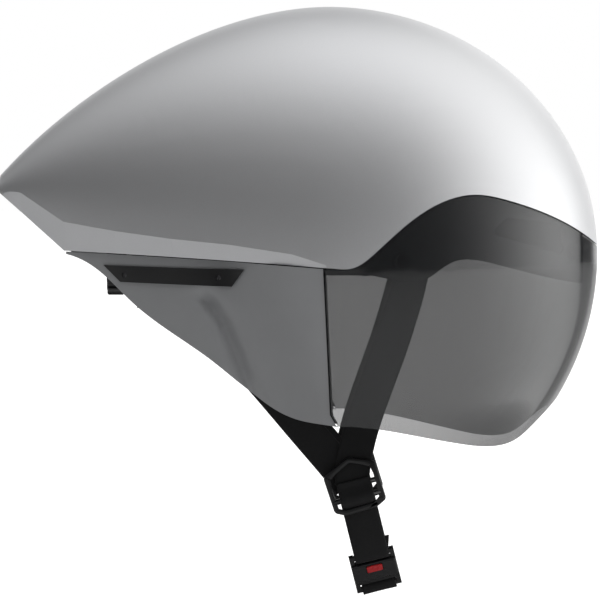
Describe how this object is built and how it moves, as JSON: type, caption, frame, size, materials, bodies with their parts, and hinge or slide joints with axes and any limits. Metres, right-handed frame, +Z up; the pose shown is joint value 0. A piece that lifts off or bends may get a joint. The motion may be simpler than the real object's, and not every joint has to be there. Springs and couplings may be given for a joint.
{
  "type": "aero time trial helmet",
  "caption": "Aero time trial helmet with a pointed tail, a large magnetic smoke visor, side panels over the ears, a dial fit cradle and webbing chin straps.",
  "frame": {"origin": "centre of the head ring at brow level, on the mid-plane", "axes": "+X the way the wearer faces, +Y to the wearer's left, +Z up; -Z is the way the helmet goes onto the head"},
  "size_m": [0.3427, 0.2054, 0.3348],
  "materials": {
    "painted_shell": "satin paint over a thin formed shell",
    "liner_foam": "beaded rigid foam",
    "black_shell": "black formed shell",
    "panel_shell": "satin dark grey",
    "black_plate": "satin black",
    "screw_steel": "turned steel",
    "magnet_steel": "nickel plated",
    "pad_cloth": "padded brushed cloth",
    "webbing": "woven webbing",
    "black_plastic": "moulded plastic",
    "red_plastic": "moulded plastic",
    "white_plastic": "moulded plastic",
    "smoke_lens": "smoke tinted clear lens"
  },
  "bodies": {
    "helmet": {"outer_shell": "painted_shell", "foam_liner": "liner_foam", "brow_shell": "black_shell", "brow_magnets": "magnet_steel", "lower_shell_left": "panel_shell", "lower_shell_right": "panel_shell", "side_plate_left": "black_plate", "side_plate_right": "black_plate", "plate_screws": "screw_steel", "brow_pad": "pad_cloth", "crown_pads": "pad_cloth", "front_strap_left": "webbing", "front_strap_right": "webbing", "rear_strap_left": "webbing", "rear_strap_right": "webbing", "strap_anchors": "black_plastic", "strap_divider_left": "black_plastic", "strap_divider_right": "black_plastic", "chin_strap_right": "webbing", "buckle_housing": "black_plastic", "arm_pins": "screw_steel"},
    "visor": {"visor_lens": "smoke_lens", "visor_magnets": "magnet_steel"},
    "left_chin": {"chin_strap_left": "webbing", "buckle_tongue": "black_plastic"},
    "button": {"release_button": "red_plastic"},
    "cradle": {"cradle_yoke": "black_plastic", "yoke_cover": "black_plastic", "nape_pads": "pad_cloth"},
    "dial": {"fit_dial": "black_plastic", "dial_pinion": "white_plastic"},
    "left_arm_body": {"left_arm": "black_plastic"},
    "right_arm_body": {"right_arm": "black_plastic"}
  },
  "joints": [
    {"name": "visor_pull", "type": "slide", "parent": "helmet", "child": "visor", "axis": [0.9063, 0, -0.4226], "range_m": [0, 0.06]},
    {"name": "left_chin_swing", "type": "hinge", "parent": "helmet", "child": "left_chin", "pos_m": [0.00764, 0.054, -0.13683], "axis": [0.9703, 0, 0.2419], "range_deg": [0, 62]},
    {"name": "release_press", "type": "slide", "parent": "helmet", "child": "button", "axis": [-0.0984, 0.9136, 0.3946], "range_m": [0, 0.001]},
    {"name": "cradle_tilt", "type": "hinge", "parent": "helmet", "child": "cradle", "pos_m": [0.0108, 0, 0], "axis": [0, 1, 0], "range_deg": [-4, 3]},
    {"name": "dial_turn", "type": "hinge", "parent": "cradle", "child": "dial", "pos_m": [-0.129, 0, 0], "axis": [1, 0, 0], "range_deg": [0, 114.59]},
    {"name": "left_arm_slide", "type": "slide", "parent": "cradle", "child": "left_arm_body", "axis": [0, -1, 0], "range_m": [0, 0.008]},
    {"name": "right_arm_slide", "type": "slide", "parent": "cradle", "child": "right_arm_body", "axis": [0, 1, 0], "range_m": [0, 0.008]}
  ],
  "couplings": [
    {"joint": "left_arm_slide", "follows": "dial_turn", "m_per_rad": 0.004},
    {"joint": "right_arm_slide", "follows": "dial_turn", "m_per_rad": 0.004}
  ]
}
